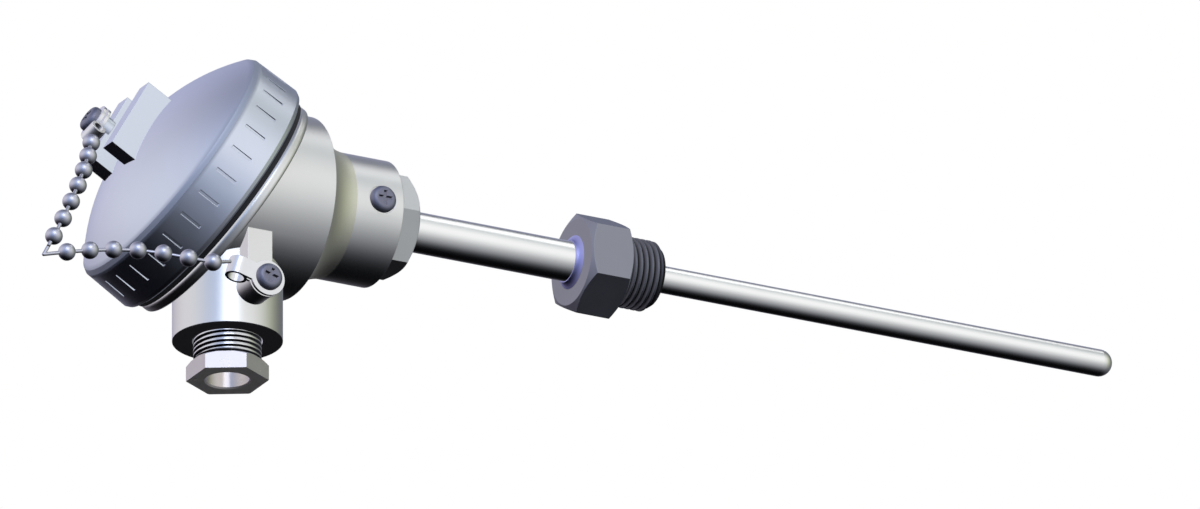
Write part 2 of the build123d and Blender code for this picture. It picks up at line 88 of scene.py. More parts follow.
class Signal:
    """A shader socket that can be used in Python sums; each sum adds a Math node."""

    def __init__(self, finish, socket):
        self.finish = finish
        self.socket = socket

    def combine(self, operation, *values):
        """A Math node on the values, in their order."""
        return self.finish.node("ShaderNodeMath", {"operation": operation}, *values).out(0)

    def math(self, operation, *others):
        """A Math node whose first value is this signal."""
        return self.combine(operation, self, *others)

    def __add__(self, other):
        return self.math("ADD", other)

    def __radd__(self, other):
        return self.combine("ADD", other, self)

    def __sub__(self, other):
        return self.math("SUBTRACT", other)

    def __rsub__(self, other):
        return self.combine("SUBTRACT", other, self)

    def __mul__(self, other):
        return self.math("MULTIPLY", other)

    def __rmul__(self, other):
        return self.combine("MULTIPLY", other, self)

    def __truediv__(self, other):
        return self.math("DIVIDE", other)

    def __pow__(self, other):
        return self.math("POWER", other)

    def __gt__(self, other):
        return self.math("GREATER_THAN", other)

    def __lt__(self, other):
        return self.math("LESS_THAN", other)


class Step:
    """One node of a finish, whose outputs are read as signals."""

    def __init__(self, finish, node):
        self.finish = finish
        self.node = node

    def out(self, key):
        return Signal(self.finish, self.node.outputs[key])


class Finish:
    """The node tree of one material or of the world."""

    def __init__(self, owner):
        owner.use_nodes = True
        self.owner = owner
        self.tree = owner.node_tree
        self.tree.nodes.clear()

    def node(self, kind, settings=None, *values, **named):
        """Adds a node: its settings first, then its sockets in order or by name, as values or links."""
        node = self.tree.nodes.new(kind)
        for key, value in (settings or {}).items():
            setattr(node, key, value)
        for key, value in enumerate(values):
            self.feed(node.inputs[key], value)
        for key, value in named.items():
            self.feed(node.inputs[key.replace("_", " ")], value)
        return Step(self, node)

    def feed(self, socket, value):
        """Links a signal to a socket, or sets the socket to a plain value."""
        if isinstance(value, Signal):
            self.tree.links.new(value.socket, socket)
        else:
            socket.default_value = value

    def place(self, turn=(0, 0, 0), scale=(1, 1, 1), centre=(0, 0, 0)):
        """Object coordinates from a centre in metres, turned and stretched, in millimetres."""
        coordinates = self.node("ShaderNodeTexCoord").out("Object")
        settings = {"operation": "SUBTRACT"}
        shifted = self.node("ShaderNodeVectorMath", settings, coordinates, tuple(centre)).out(0)
        scaled = tuple(value / MM for value in scale)
        return self.node("ShaderNodeMapping", {}, Vector=shifted, Rotation=turn, Scale=scaled).out(0)

    def across(self, axis, place):
        """One measure of a place: how far it lies along X, Y or Z."""
        return self.node("ShaderNodeSeparateXYZ", {}, place).out(axis)

    def along(self, direction, vector):
        """How far a vector reaches in a direction."""
        settings = {"operation": "DOT_PRODUCT"}
        return self.node("ShaderNodeVectorMath", settings, vector, tuple(direction)).out("Value")

    def ramp(self, value, start, end):
        """Rises from 0 to 1 as a value goes from a start to an end."""
        return self.node("ShaderNodeMapRange", {}, value, start, end, 0.0, 1.0).out(0)

    def noise(self, vector, scale, detail=3.0, roughness=0.5):
        """Fractal noise from 0 to 1."""
        step = self.node(
            "ShaderNodeTexNoise", {}, Vector=vector, Scale=scale, Detail=detail, Roughness=roughness
        )
        return step.out("Fac")

    def blend(self, factor, first, second):
        """Mixes two colours."""
        node = self.node("ShaderNodeMix", {"data_type": "RGBA"}).node
        factor_socket, first_socket, second_socket, result = 0, 6, 7, 2
        self.feed(node.inputs[factor_socket], factor)
        self.feed(node.inputs[first_socket], first)
        self.feed(node.inputs[second_socket], second)
        return Signal(self, node.outputs[result])

    def bump(self, height, distance, edge=0.0):
        """Normal of a height from 0 to 1 over a distance in mm, with true edges eased by a radius in mm."""
        sockets = {"Distance": distance * MM, "Height": height}
        if edge:
            sockets["Normal"] = self.node("ShaderNodeBevel", {"samples": 6}, Radius=edge * MM).out(0)
        return self.node("ShaderNodeBump", {}, **sockets).out(0)

    def close(self, **sockets):
        """Ends a material in one Principled shader."""
        shader = self.node("ShaderNodeBsdfPrincipled", {}, **sockets)
        self.node("ShaderNodeOutputMaterial", {}, shader.out(0))
        return self.owner


def new_finish(name):
    return Finish(bpy.data.materials.new(name))


def rgba(colour, lift=1.0):
    """A colour of three values as four, made lighter or darker."""
    return tuple(min(1.0, value * lift) for value in colour) + (1.0,)


def satin_aluminium(name, colour, thread):
    """Fine satin casting, machined after: soft cloudy tone, fine grain, faint tool rings and a thread."""
    finish = new_finish(name)
    tilt = (0, LID_AXIS.angle(Vector((-1.0, 0.0, 0.0))), 0)
    cloud = finish.noise(finish.place(), scale=0.035, detail=4.0, roughness=0.55)
    grit = finish.noise(finish.place(), scale=2.6, detail=2.0, roughness=0.6)
    rings = finish.noise(finish.place(turn=tilt, scale=(1.0, 0.04, 0.04)), scale=1.4, detail=2.0)
    tone = finish.blend(cloud, rgba(colour, 0.95), rgba(colour, 1.05))
    rough = 0.3 + 0.06 * cloud + 0.04 * grit
    grain = (grit * 0.6 + rings * 0.4) * 0.01
    normal = finish.bump(grain + lid_thread(finish, *thread), distance=0.6, edge=0.25)
    return finish, tone, rough, normal


def turned_aluminium(name, colour, thread, edge_reach, edge_round):
    """Satin aluminium that is machined all over, with painted shade on the round where the cap's side meets
    its dome: a darker base colour that holds back the highlight there, and a rougher face.
    """
    finish, tone, rough, normal = satin_aluminium(name, colour, thread)
    height, reach, _ = cap_measures(finish)
    # Painted shade: on the round between the cap's side and its dome the base colour turns darker, to hold
    # back its highlight.
    above = finish.ramp(height, -1.2 * edge_round, -0.6 * edge_round)
    edge = above * finish.ramp(reach, edge_reach - edge_round, edge_reach)
    return finish.close(
        Base_Color=finish.blend(edge, tone, rgba(colour, 0.72)),
        Metallic=1.0,
        Roughness=rough + 0.3 * edge,
        Normal=normal,
    )


def cast_aluminium(name, colour, thread, painted_band_colour, start, end):
    """Satin aluminium with a painted reflection between two stations in mm along the probe: an olive-tinted
    band on the cove, with a rougher face.
    """
    finish, tone, rough, normal = satin_aluminium(name, colour, thread)
    station = finish.across("X", finish.place())
    # Painted reflection: between the two stations the base colour turns to a mottled olive tint.
    in_painted_band = (station > start) * (station < end)
    band_mottle = finish.noise(finish.place(), scale=2.6, detail=2.0, roughness=0.6)
    skin = finish.blend(band_mottle, rgba(painted_band_colour, 0.92), rgba(painted_band_colour, 1.08))
    return finish.close(
        Base_Color=finish.blend(in_painted_band, tone, skin),
        Metallic=1.0,
        Roughness=rough + 0.12 * in_painted_band,
        Normal=normal,
    )


def cap_measures(finish):
    """Height along the cap's axis and reach from it in mm, and the share of a turn round it."""
    place = finish.place(centre=LID_CENTRE)
    rise = finish.along(LID_SIDE, place)
    side = finish.across("Y", place)
    turn = side.math("ARCTAN2", rise) / (2 * pi)
    return finish.along(LID_AXIS, place), (rise * rise + side * side) ** 0.5, turn


def lid_thread(finish, pitch, radius, low, high, band=0.5):
    """Height from 0 to 1 of the thread between head and cap: a cosine on along/pitch - angle/turn.

    It stands only within a band of radii and between two heights along the cap's axis, in mm.
    """
    height, reach, turn = cap_measures(finish)
    phase = (height / pitch - turn) * (2 * pi)
    wave = 0.5 + 0.5 * phase.math("COSINE")
    near = reach.math("COMPARE", radius, band)
    return wave * near * (height > low) * (height < high)


def drawn_tube(name, colour, roughness):
    """Bright drawn tube: fine lines along the tube and a little cloud in the polish."""
    finish = new_finish(name)
    lines = finish.noise(finish.place(scale=(0.02, 1.0, 1.0)), scale=2.5, detail=2.0)
    cloud = finish.noise(finish.place(), scale=0.05, detail=3.0)
    tone = finish.blend(cloud, rgba(colour, 0.96), rgba(colour, 1.04))
    return finish.close(
        Base_Color=tone,
        Metallic=1.0,
        Roughness=roughness + 0.05 * cloud + 0.03 * lines,
        Normal=finish.bump(lines, distance=0.0015),
    )


def turned_steel(name, colour, roughness, metal=1.0):
    """Machined bar: tool lines across the axis and slightly dull faces."""
    finish = new_finish(name)
    lines = finish.noise(finish.place(scale=(1.0, 0.03, 0.03)), scale=3.0, detail=3.0, roughness=0.6)
    cloud = finish.noise(finish.place(), scale=0.09, detail=3.0)
    return finish.close(
        Base_Color=finish.blend(cloud, rgba(colour, 0.93), rgba(colour, 1.06)),
        Metallic=metal,
        Roughness=roughness + 0.08 * cloud + 0.04 * lines,
        Normal=finish.bump(lines, distance=0.005, edge=0.2),
    )


def welded_steel(name, colour, weld_highlight_colour, weld_end, root_shade_colour, root, crest):
    """Machined bar with a painted blue highlight on its weld collar and with painted shade on its thread,
    darkest in the roots.

    The weld lies behind a station and the thread in front of zero, in mm along the probe.
    """
    finish = new_finish(name)
    lines = finish.noise(finish.place(scale=(1.0, 0.03, 0.03)), scale=3.0, detail=3.0, roughness=0.6)
    cloud = finish.noise(finish.place(), scale=0.09, detail=3.0)
    place = finish.place()
    station = finish.across("X", place)
    # Painted highlight: behind the weld station the base colour turns blue.
    painted_weld_highlight = (station < weld_end) * (0.6 + 0.4 * cloud)
    side, rise = finish.across("Y", place), finish.across("Z", place)
    reach = (side * side + rise * rise) ** 0.5
    # Painted shade: the thread is darkened all over, most in its roots.
    painted_thread_shade = (station > EDGE_MARGIN) * (0.45 + 0.55 * finish.ramp(reach, crest, root))
    bar = finish.blend(cloud, rgba(colour, 0.93), rgba(colour, 1.06))
    return finish.close(
        Base_Color=finish.blend(painted_thread_shade, finish.blend(painted_weld_highlight, bar, rgba(weld_highlight_colour)), rgba(root_shade_colour)),
        Metallic=1.0,
        Roughness=0.42 + 0.08 * cloud + 0.04 * lines,
        Normal=finish.bump(lines, distance=0.005, edge=0.2),
    )


def plated(name, colour, roughness):
    """Bright plated part, with faint waviness and spots in the plate."""
    finish = new_finish(name)
    wave = finish.noise(finish.place(), scale=0.35, detail=2.0)
    spots = finish.noise(finish.place(), scale=3.0, detail=2.0)
    tone = finish.blend(wave, rgba(colour, 0.95), rgba(colour, 1.05))
    return finish.close(
        Base_Color=tone,
        Metallic=1.0,
        Roughness=roughness + 0.05 * spots,
        Normal=finish.bump(wave, distance=0.01, edge=0.12),
    )


def plated_brass(name, colour, thread_colour, shoulder):
    """Nickel on brass: warm, dull faces up to a shoulder height in mm and a bright thread above it."""
    finish = new_finish(name)
    wave = finish.noise(finish.place(), scale=0.3, detail=2.0)
    height = finish.across("Z", finish.place())
    above = finish.ramp(height, shoulder, shoulder + 0.3)
    tone = finish.blend(wave, rgba(colour, 0.93), rgba(colour, 1.07))
    return finish.close(
        Base_Color=finish.blend(above, tone, rgba(thread_colour)),
        Metallic=0.65 + 0.35 * above,
        Roughness=0.24 - 0.08 * above + 0.05 * wave,
        Normal=finish.bump(wave, distance=0.01, edge=0.15),
    )


def matt_rubber(name, colour):
    """Moulded rubber with a fine skin."""
    finish = new_finish(name)
    skin = finish.noise(finish.place(), scale=2.0, detail=3.0)
    tone = finish.blend(skin, rgba(colour, 0.8), rgba(colour, 1.25))
    return finish.close(
        Base_Color=tone,
        Roughness=0.62 + 0.15 * skin,
        Normal=finish.bump(skin, distance=0.03),
    )


def glazed_ceramic(name, colour):
    """Fired ceramic with a thin glaze and small specks."""
    finish = new_finish(name)
    speck = finish.noise(finish.place(), scale=1.2, detail=4.0, roughness=0.7)
    tone = finish.blend(speck, rgba(colour, 0.88), rgba(colour, 1.06))
    return finish.close(
        Base_Color=tone,
        Roughness=0.28 + 0.2 * speck,
        Normal=finish.bump(speck, distance=0.02, edge=0.2),
    )


def add_piece(name, mesh, node, finish):
    """Puts a finished mesh in the scene as the stand-in of one node, on the node's own body."""
    piece = bpy.data.objects.new(name, mesh)
    bpy.context.scene.collection.objects.link(piece)
    mesh.materials.clear()
    mesh.materials.append(finish)
    piece.visible_glossy = False
    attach(piece, BODY_OF[node])
    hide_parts(node)


def crease(mesh):
    """Smooth faces, with each edge sharper than the crease angle kept hard.

    Two faces meet at an edge; the cosine between their normals is compared with the angle's.
    """
    mesh.update()
    face_count = len(mesh.polygons)
    edge_count = len(mesh.edges)
    normals = np.empty(face_count * 3)
    mesh.polygons.foreach_get("normal", normals)
    normals = normals.reshape(-1, 3)
    totals = np.empty(face_count, dtype=np.int64)
    mesh.polygons.foreach_get("loop_total", totals)
    loop_edges = np.empty(len(mesh.loops), dtype=np.int64)
    mesh.loops.foreach_get("edge_index", loop_edges)
    loop_faces = np.repeat(np.arange(face_count), totals)
    order = np.argsort(loop_edges, kind="stable")
    edges, faces = loop_edges[order], loop_faces[order]
    first = np.searchsorted(edges, np.arange(edge_count), side="left")
    last = np.searchsorted(edges, np.arange(edge_count), side="right") - 1
    paired = last - first == 1
    cosine = np.ones(edge_count)
    one, two = faces[np.clip(first, 0, len(faces) - 1)], faces[np.clip(last, 0, len(faces) - 1)]
    cosine[paired] = np.einsum("ij,ij->i", normals[one[paired]], normals[two[paired]])
    sharp = ~paired | (cosine < cos(radians(CREASE_DEGREES)))
    attribute = mesh.attributes.new("sharp_edge", "BOOLEAN", "EDGE")
    attribute.data.foreach_set("value", sharp)
    mesh.polygons.foreach_set("use_smooth", np.ones(face_count, dtype=bool))
    mesh.update()


def grid_mesh(name, points):
    """Mesh of a grid of points (rows, columns, 3) that closes round its columns; each cell is a quad."""
    rows, columns, _ = points.shape
    row, column = np.meshgrid(np.arange(rows - 1), np.arange(columns), indexing="ij")
    after = (column + 1) % columns
    here = row * columns
    above = (row + 1) * columns
    faces = np.stack([here + column, here + after, above + after, above + column], axis=-1).reshape(-1, 4)
    mesh = bpy.data.meshes.new(name)
    mesh.from_pydata(points.reshape(-1, 3), [], faces)
    mesh.validate()
    return mesh


def thread_radius(along, angle, major, pitch, depth, start, end):
    """Radius of a rounded V thread: a cosine wave on the helix phase along/pitch - angle/turn.

    The wave is stretched and clipped, so that crests and roots are a little flat, and it rises from the
    root over a part of the pitch at each end.
    """
    phase = along / pitch - angle / (2 * pi)
    wave = 0.5 + 0.5 * np.cos(2 * pi * phase)
    crest = np.clip(1.35 * wave - 0.1, 0.0, 1.0)
    fade = 0.6 * pitch
    run_in = np.clip((along - start) / fade, 0.0, 1.0)
    run_out = np.clip((end - along) / fade, 0.0, 1.0)
    return major - depth + depth * crest * np.minimum(run_in, run_out)


def hexagon_reach(angle, flats, turn):
    """Distance from the axis to a hexagon's side: half the flats over the cosine to the nearest flat."""
    sixth = pi / 3
    offset = (angle - turn + sixth / 2) % sixth - sixth / 2
    return flats / 2 / np.cos(offset)


def hexagon_rows(angle, flats, turn, start, end, start_share=0.95, end_share=0.95):
    """Four rows of a chamfered hexagon: face circle, chamfer edge, chamfer edge, face circle.

    The cone through a face circle meets the side where the side stands out past it. The circles are
    shares of the half flats.
    """
    cone = tan(radians(30))
    reach = hexagon_reach(angle, flats, turn)
    rows = []
    for height, share, way in ((start, start_share, 1.0), (end, end_share, -1.0)):
        face = np.minimum(reach, flats / 2 * share)
        drop = (reach - face) * cone
        pair = [(face, np.full_like(angle, height)), (reach, height + way * drop)]
        rows += pair if way > 0 else pair[::-1]
    return rows


def round_angles(count):
    """Angles of as many points, evenly spaced round a circle."""
    return np.arange(count) * 2 * pi / count


def ring_row(angle, radius, height):
    """A plain circle as one row of a turned surface."""
    return (np.full_like(angle, radius), np.full_like(angle, height))


def turned_surface(name, rows, angle, axes, origin):
    """Mesh whose rows give a radius and a height for each angle round an axis.

    Point = origin + radius * (cos * side + sin * across) + height * axis, all in millimetres.
    """
    side, across, axis = (np.array(vector, dtype=float) for vector in axes)
    radius = np.stack([row[0] for row in rows])
    height = np.stack([row[1] for row in rows])
    points = (
        np.array(origin, dtype=float)
        + radius[..., None] * (np.cos(angle)[None, :, None] * side + np.sin(angle)[None, :, None] * across)
        + height[..., None] * axis
    )
    return grid_mesh(name, points * MM)


def thread_rows(angle, start, end, spacing, major, pitch, depth):
    """Rows of a thread between two heights, close enough to draw its flanks."""
    heights = np.arange(start, end + spacing / 2, spacing)
    return [
        (thread_radius(height, angle, major, pitch, depth, start, end), np.full_like(angle, height))
        for height in heights
    ]


def length(name, description, default):
    """A length with its default in millimetres, shown in the panel in the scene's unit."""
    return FloatProperty(name=name, description=description, default=default * MM, unit="LENGTH", precision=5)


def in_millimetres(group):
    """The lengths of a group by name, as plain numbers in millimetres."""
    return SimpleNamespace(**{name: getattr(group, name) / MM for name in group.__annotations__})


def tint(name, description, default):
    """A base colour, shown in the panel."""
    return FloatVectorProperty(name=name, description=description, subtype="COLOR", size=3, default=default)


class ProbeSizes(PropertyGroup):
    """Sizes that the frame doesn't hold."""

    process_pitch: length("Process Pitch", "Pitch of the process thread", 1.814)
    process_depth: length("Process Depth", "Depth of the process thread", 1.16)
    hexagon_length: length("Hexagon Length", "Length of the process hexagon", 13.8)
    weld_width: length("Weld Width", "How far the weld collar reaches from the tube", 2.0)
    entry_radius: length("Entry Radius", "Radius of the cable entry thread", 10.0)
    entry_pitch: length("Entry Pitch", "Pitch of the cable entry thread", 1.5)
    entry_depth: length("Entry Depth", "Depth of the cable entry thread", 0.92)
    entry_hexagon: length("Entry Hexagon", "Height of the entry screw's hexagon", 5.3)
    cap_pitch: length("Cap Pitch", "Pitch of the thread between head and cap", 3.0)
    neck_radius: length("Neck Radius", "Radius of the head's neck thread", 35.0)
    neck_start: length("Neck Start", "Low end of the neck thread on the cap's axis", -18.5)
    neck_end: length("Neck End", "High end of the neck thread on the cap's axis", -4.3)
    bore_radius: length("Bore Radius", "Radius of the cap's bore thread", 35.3)
    bore_start: length("Bore Start", "Low end of the bore thread on the cap's axis", -16.2)
    bore_end: length("Bore End", "High end of the bore thread on the cap's axis", -4.0)
    cap_radius: length("Cap Radius", "Radius of the cap where its side meets its dome", 39.3)
    cap_round: length("Cap Round", "Round between the cap's side and its dome", 1.7)
    # Stations of the painted reflection: an olive band on the head's cove
    skin_start: length("Skin Start", "Station where the head's cast skin starts", -105.1)
    skin_end: length("Skin End", "Station where the head's cast skin ends", -93.8)


class ProbeColours(PropertyGroup):
    """Base colours of the finishes."""

    head: tint("Head", "Machined faces of the cast head", (0.8, 0.8, 0.79))
    # Colour of the painted reflection on the head's cove
    skin: tint("Cast Skin", "Cast skin that the cutter left", (0.8, 0.79, 0.67))
    lid: tint("Lid", "Screw cap", (0.7, 0.745, 0.85))
    tube: tint("Tube", "Sheath and extension tube", (0.95, 0.95, 0.94))
    hexagon: tint("Hexagon", "Process hexagon and its thread", (0.33, 0.335, 0.385))
    # Painted shade in the roots of the process thread
    root: tint("Thread Root", "Dark roots of the process thread", (0.015, 0.015, 0.016))
    # Painted blue highlight on the weld collar
    weld: tint("Weld", "Heat tint of the weld collar", (0.5, 0.5, 0.95))
    nut: tint("Neck Nut", "Hexagon at the neck", (0.75, 0.76, 0.75))
    screw: tint("Screw", "Small screws", (0.26, 0.26, 0.33))
    tag: tint("Tag", "Folded chain tags", (0.82, 0.82, 0.84))
    chain: tint("Chain", "Bead chain", (0.62, 0.62, 0.7))
    nickel: tint("Entry Hexagon", "Hexagon of the cable entry", (0.74, 0.68, 0.66))
    thread: tint("Entry Thread", "Thread of the cable entry", (0.8, 0.8, 0.82))
    rubber: tint("Rubber", "Seals and sleeve", (0.02, 0.02, 0.022))
    ceramic: tint("Ceramic", "Terminal block and insulator", (0.8, 0.77, 0.68))
    brass: tint("Brass", "Terminals and washer", (0.65, 0.44, 0.16))
    wire: tint("Wire", "Thermocouple wires", (0.42, 0.4, 0.37))
    floor: tint("Floor", "Pale floor", (0.5, 0.47, 0.32))


def dress(nodes, finish):
    """Puts a finish on the frame's own surface of each node.

    The nodes are left out of each other's reflections, as in the photo, where bright metal shows the
    studio alone.
    """
    for node in nodes:
        frame["nodes"][node].visible_glossy = False
        for slot in frame["nodes"][node].material_slots:
            slot.material = finish


class PROBE_OT_head(Operator):
    """Finish the cast head as satin aluminium with its neck thread"""

    bl_idname = "probe.head"
    bl_label = "Head"

    def execute(self, context):
        sizes = in_millimetres(context.scene.probe_sizes)
        colours = context.scene.probe_colours
        thread = (sizes.cap_pitch, sizes.neck_radius, sizes.neck_start, sizes.neck_end)
        # The cove between two stations gets a painted reflection: an olive-tinted band.
        skin = (tuple(colours.skin), sizes.skin_start, sizes.skin_end)
        dress(["head_housing"], cast_aluminium("cast_aluminium", tuple(colours.head), thread, *skin))
        return {"FINISHED"}


class PROBE_OT_lid(Operator):
    """Finish the screw cap as turned aluminium"""

    bl_idname = "probe.lid"
    bl_label = "Screw Cap"

    def execute(self, context):
        sizes = in_millimetres(context.scene.probe_sizes)
        thread = (sizes.cap_pitch, sizes.bore_radius, sizes.bore_start, sizes.bore_end)
        # The round between the cap's side and its dome gets painted shade: a darker base colour.
        edge = (sizes.cap_radius, sizes.cap_round)
        colour = tuple(context.scene.probe_colours.lid)
        dress(["screw_lid"], turned_aluminium("lid_aluminium", colour, thread, *edge))
        return {"FINISHED"}


class PROBE_OT_chain(Operator):
    """Finish the bead chain and its folded tags"""

    bl_idname = "probe.chain"
    bl_label = "Chain"

    def execute(self, context):
        colours = context.scene.probe_colours
        dress(["chain_upper_run", "chain_lower_run"], plated("bead_chain", tuple(colours.chain), 0.32))
        dress(["lid_chain_tag", "body_chain_tag"], plated("plated_steel", tuple(colours.tag), 0.28))
        return {"FINISHED"}


class PROBE_OT_screws(Operator):
    """Finish the small screws"""

    bl_idname = "probe.screws"
    bl_label = "Screws"

    def execute(self, context):
        colour = tuple(context.scene.probe_colours.screw)
        nodes = [node for node, slot in SLOTS.items() if slot == "screw_steel"]
        dress(nodes, turned_steel("screw_steel", colour, 0.4, 0.8))
        return {"FINISHED"}


class PROBE_OT_stem(Operator):
    """Finish the tubes and the neck nut"""

    bl_idname = "probe.stem"
    bl_label = "Stem"

    def execute(self, context):
        colours = context.scene.probe_colours
        dress(["extension_tube", "sheath_tube"], drawn_tube("bright_tube", tuple(colours.tube), 0.2))
        dress(["neck_nut"], turned_steel("neck_steel", tuple(colours.nut), 0.38))
        return {"FINISHED"}


class PROBE_OT_seals(Operator):
    """Finish the rubber seals and the sleeve of the cable entry"""

    bl_idname = "probe.seals"
    bl_label = "Seals"

    def execute(self, context):
        colour = tuple(context.scene.probe_colours.rubber)
        dress(["lid_gasket", "neck_seal", "gland_grommet"], matt_rubber("black_rubber", colour))
        return {"FINISHED"}


class PROBE_OT_insert(Operator):
    """Finish the measuring insert, the terminal block and the brass parts"""

    bl_idname = "probe.insert"
    bl_label = "Insert"

    def execute(self, context):
        colours = context.scene.probe_colours
        dress(["terminal_block", "ceramic_insulator"], glazed_ceramic("ceramic", tuple(colours.ceramic)))
        dress(["brass_terminals", "gland_washer"], turned_steel("brass", tuple(colours.brass), 0.25))
        wires = ["wire_positive", "wire_negative", "hot_junction"]
        dress(wires, drawn_tube("thermo_wire", tuple(colours.wire), 0.35))
        return {"FINISHED"}


class PROBE_OT_process_fitting(Operator):
    """Make the process hexagon with its thread and weld collar"""

    bl_idname = "probe.process_fitting"
    bl_label = "Process Fitting"

    def execute(self, context):
        sizes = in_millimetres(context.scene.probe_sizes)
        angle = round_angles(POINTS_ROUND)
        low, high = (np.array(corner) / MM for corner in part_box("process_fitting"))
        tube_high = np.array(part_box("extension_tube")[1]) / MM
        sheath_high = np.array(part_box("sheath_tube")[1]) / MM
        thread = MOUNTS["process_thread"]["dims"]["r_mm"]
        flats = high[1] - low[1]
        hexagon_back = -sizes.hexagon_length
        tube_radius = tube_high[1] + FIT_GAP
        sheath_radius = sheath_high[1] + FIT_GAP
        weld_low = tube_radius + 0.3
        weld_high = tube_radius + sizes.weld_width
        root = thread - sizes.process_depth
        tube_socket = low[0] + 0.4
        sheath_socket = high[0] - 0.6
        thread_start = 0.35
        thread_end = high[0] - 0.75
        row_spacing = 0.11
        end_chamfer = 0.5
        rows = [ring_row(angle, sheath_radius, sheath_socket), ring_row(angle, tube_radius, tube_socket)]
        rows += [ring_row(angle, tube_radius, low[0]), ring_row(angle, weld_low, low[0])]
        for step in np.linspace(0.15, 1.0, 6):
            height = low[0] + (hexagon_back - low[0]) * step
            rows.append(ring_row(angle, weld_low + (weld_high - weld_low) * step**2, height))
        rows += hexagon_rows(angle, flats, pi / 6, hexagon_back, 0.0)
        rows.append(ring_row(angle, root, 0.0))
        rows += thread_rows(
            angle, thread_start, thread_end, row_spacing, thread, sizes.process_pitch, sizes.process_depth
        )
        rows.append(ring_row(angle, root - end_chamfer, high[0]))
        rows.append(ring_row(angle, sheath_radius, high[0]))
        rows.append(ring_row(angle, sheath_radius, sheath_socket))
        axes = ((0, 0, 1), (0, -1, 0), (1, 0, 0))
        mesh = turned_surface("process_fitting_surface", rows, angle, axes, (0, 0, 0))
        crease(mesh)
        colours = context.scene.probe_colours
        # The weld collar carries a painted blue highlight, and the thread painted shade that is darkest in
        # its roots.
        finish = welded_steel(
            "stainless_hexagon",
            tuple(colours.hexagon),
            tuple(colours.weld),
            hexagon_back - EDGE_MARGIN,
            tuple(colours.root),
            root,
            thread,
        )
        add_piece("process_fitting_piece", mesh, "process_fitting", finish)
        return {"FINISHED"}


class PROBE_OT_entry_screw(Operator):
    """Make the hollow pressure screw of the cable entry with its thread"""

    bl_idname = "probe.entry_screw"
    bl_label = "Entry Screw"

    def execute(self, context):
        sizes = in_millimetres(context.scene.probe_sizes)
        angle = round_angles(POINTS_ROUND)
        low, high = (np.array(corner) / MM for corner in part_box("gland_pressure_screw"))
        entry = MOUNTS["cable_entry"]
        bore = entry["dims"]["r_mm"]
        centre = (entry["pos_m"][0] / MM, entry["pos_m"][1] / MM, 0.0)
        thread = sizes.entry_radius
        root = thread - sizes.entry_depth
        flats = high[0] - low[0]
        hexagon_top = low[2] + sizes.entry_hexagon
        bore_end = high[2] - 0.01
        bore_chamfer = 0.4
        chamfer_top = low[2] + 0.5
        # Past the corners of the hexagon, so that it stays crisp
        face_share, shoulder_share = 1.14, 1.02
        thread_start = hexagon_top + 0.3
        thread_end = high[2] - 0.3
        row_spacing = 0.1
        rows = [ring_row(angle, bore, bore_end), ring_row(angle, bore, chamfer_top)]
        rows.append(ring_row(angle, bore + bore_chamfer, low[2]))
        rows += hexagon_rows(angle, flats, 0.0, low[2], hexagon_top, face_share, shoulder_share)
        rows.append(ring_row(angle, root, hexagon_top))
        rows += thread_rows(
            angle, thread_start, thread_end, row_spacing, thread, sizes.entry_pitch, sizes.entry_depth
        )
        rows.append(ring_row(angle, root, high[2]))
        rows.append(ring_row(angle, bore, high[2]))
        rows.append(ring_row(angle, bore, bore_end))
        axes = ((1, 0, 0), (0, 1, 0), (0, 0, 1))
        mesh = turned_surface("entry_screw_surface", rows, angle, axes, centre)
        crease(mesh)
        colours = context.scene.probe_colours
        finish = plated_brass("bright_nickel", tuple(colours.nickel), tuple(colours.thread), hexagon_top)
        add_piece("entry_screw_piece", mesh, "gland_pressure_screw", finish)
        return {"FINISHED"}


AZIMUTH = radians(-27.36)
ELEVATION = radians(-21.7)
CAMERA_RIGHT = Vector((cos(AZIMUTH), sin(AZIMUTH), 0))
CAMERA_BACK = Vector((sin(AZIMUTH) * cos(ELEVATION), -cos(AZIMUTH) * cos(ELEVATION), sin(ELEVATION)))
CAMERA_UP = CAMERA_BACK.cross(CAMERA_RIGHT)


def from_camera(side, rise, near):
    """Direction in the world of a direction given to the camera's right, up and back."""
    return (CAMERA_RIGHT * side + CAMERA_UP * rise + CAMERA_BACK * near).normalized()


# Soft glows of the studio: direction, sharpness, share of the white backdrop, colour of the rest
GLOWS = (
    (from_camera(0.6, 0.64, 0.48), 3.5, 0.82, (0.0, 0.01, 0.04)),
    (from_camera(0.78, -0.05, 0.62), 4.0, 0.32, (0.0, 0.01, 0.02)),
    (from_camera(0.0, 0.72, 0.7), 4.0, 0.26, (0.04, 0.32, 0.95)),
    (from_camera(-0.77, 0.56, 0.25), 5.0, 0.68, (0.0, 0.06, 0.3)),
    (from_camera(-0.8, 0.05, -0.6), 3.0, 0.82, (0.16, 0.03, 0.2)),
    (from_camera(0.95, 0.3, 0.0), 6.0, 0.12, (0.18, 0.22, 0.0)),
    (from_camera(-0.3, 0.25, -0.9), 8.0, 0.0, (0.14, 0.2, 0.38)),
)
AMBIENT = (0.14, 0.145, 0.165)
DARK_SIDE = from_camera(-0.35, -0.9, -0.25)


def softbox(name, centre, target, size, energy, colour=(1, 1, 1)):
    """Rectangular area lamp that faces a target, all in metres."""
    data = bpy.data.lights.new(name, "AREA")
    data.shape = "RECTANGLE"
    data.size, data.size_y = size
    data.energy = energy
    data.color = colour
    lamp = bpy.data.objects.new(name, data)
    lamp.location = centre
    direction = Vector(target) - Vector(centre)
    lamp.rotation_euler = direction.to_track_quat("-Z", "Y").to_euler()
    bpy.context.scene.collection.objects.link(lamp)
    return lamp


